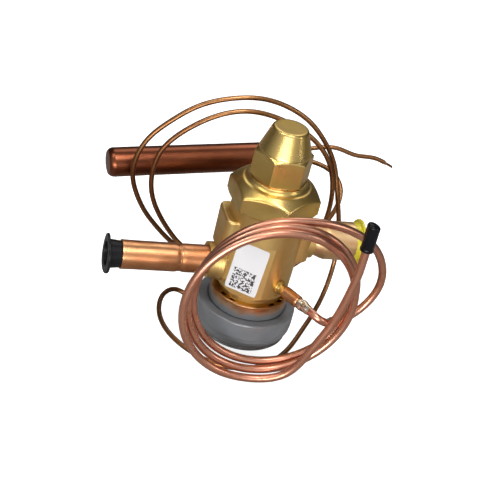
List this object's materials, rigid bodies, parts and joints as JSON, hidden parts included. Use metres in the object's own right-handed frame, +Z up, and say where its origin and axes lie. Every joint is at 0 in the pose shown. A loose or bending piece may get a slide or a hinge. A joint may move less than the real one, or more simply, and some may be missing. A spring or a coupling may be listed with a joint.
{
  "type": "thermostatic expansion valve",
  "caption": "Brass expansion valve with plugged copper ports, a power element with capillary and sensing bulb, and a coiled equalizer line.",
  "frame": {"origin": "on the inlet's axis, where the belled mouth of the inlet socket meets its round wall", "axes": "-X out of the inlet along its axis, +X along the outlet, +Z up the stem towards the seal cap"},
  "size_m": [0.2018, 0.1559, 0.1655],
  "materials": {
    "brass": "cast and turned brass",
    "copper": "bare copper",
    "reducer_copper": "bare copper, brazed",
    "dark_copper": "annealed copper, darkened by heat",
    "grey_paint": "glossy grey paint on steel",
    "steel": "turned steel",
    "silver_braze": "silver solder",
    "seal": "packing",
    "black_plastic": "moulded",
    "yellow_plastic": "moulded",
    "black_rubber": "moulded",
    "white_label": "printed film"
  },
  "bodies": {
    "valve": {"valve_body": "brass", "bonnet_nut": "brass", "gland_nut": "brass", "orifice_seat": "brass", "equalizer_ferrule": "brass", "lock_ring": "brass", "capillary_ferrule": "brass", "inlet_tube": "copper", "equalizer_tube": "copper", "equalizer_stub": "copper", "cap_gasket": "copper", "bonnet_gasket": "copper", "outlet_tube": "reducer_copper", "capillary_tube": "dark_copper", "sensing_bulb": "dark_copper", "bulb_end_plug": "dark_copper", "charging_tail": "dark_copper", "element_upper_casing": "grey_paint", "element_lower_casing": "grey_paint", "element_collar": "grey_paint", "superheat_spring": "steel", "diaphragm": "steel", "equalizer_braze": "silver_braze", "spindle_packing": "seal", "push_rod_seal": "seal", "element_gasket": "seal", "label": "white_label"},
    "cap": {"seal_cap": "brass"},
    "spindle": {"adjusting_spindle": "steel"},
    "seat": {"spring_seat": "brass"},
    "cone": {"valve_cone": "steel", "cone_holder": "brass", "push_rod": "steel", "diaphragm_plate": "steel"},
    "inlet_stopper": {"inlet_plug": "black_plastic"},
    "outlet_stopper": {"outlet_plug": "yellow_plastic"},
    "line_stopper": {"equalizer_cap": "black_rubber"}
  },
  "joints": [
    {"name": "seal_cap_lift", "type": "slide", "parent": "valve", "child": "cap", "axis": [0, 0, 1], "range_m": [0, 0.04]},
    {"name": "spindle_turn", "type": "hinge", "parent": "valve", "child": "spindle", "pos_m": [0.077, 0, 0.05], "axis": [0, 0, 1], "range_deg": [-1080, 1080]},
    {"name": "seat_travel", "type": "slide", "parent": "valve", "child": "seat", "axis": [0, 0, 1], "range_m": [-0.003, 0.003], "deforming": ["superheat_spring"]},
    {"name": "cone_lift", "type": "slide", "parent": "valve", "child": "cone", "axis": [0, 0, 1], "range_m": [0, 0.0012], "deforming": ["diaphragm"]},
    {"name": "inlet_plug_pull", "type": "slide", "parent": "valve", "child": "inlet_stopper", "axis": [-1, 0, 0], "range_m": [0, 0.04]},
    {"name": "outlet_plug_pull", "type": "slide", "parent": "valve", "child": "outlet_stopper", "axis": [1, 0, 0], "range_m": [0, 0.04]},
    {"name": "equalizer_cap_pull", "type": "slide", "parent": "valve", "child": "line_stopper", "axis": [0, 0, 1], "range_m": [0, 0.03]}
  ],
  "couplings": [
    {"joint": "seat_travel", "follows": "spindle_turn", "m_per_rad": 0.00015915}
  ]
}
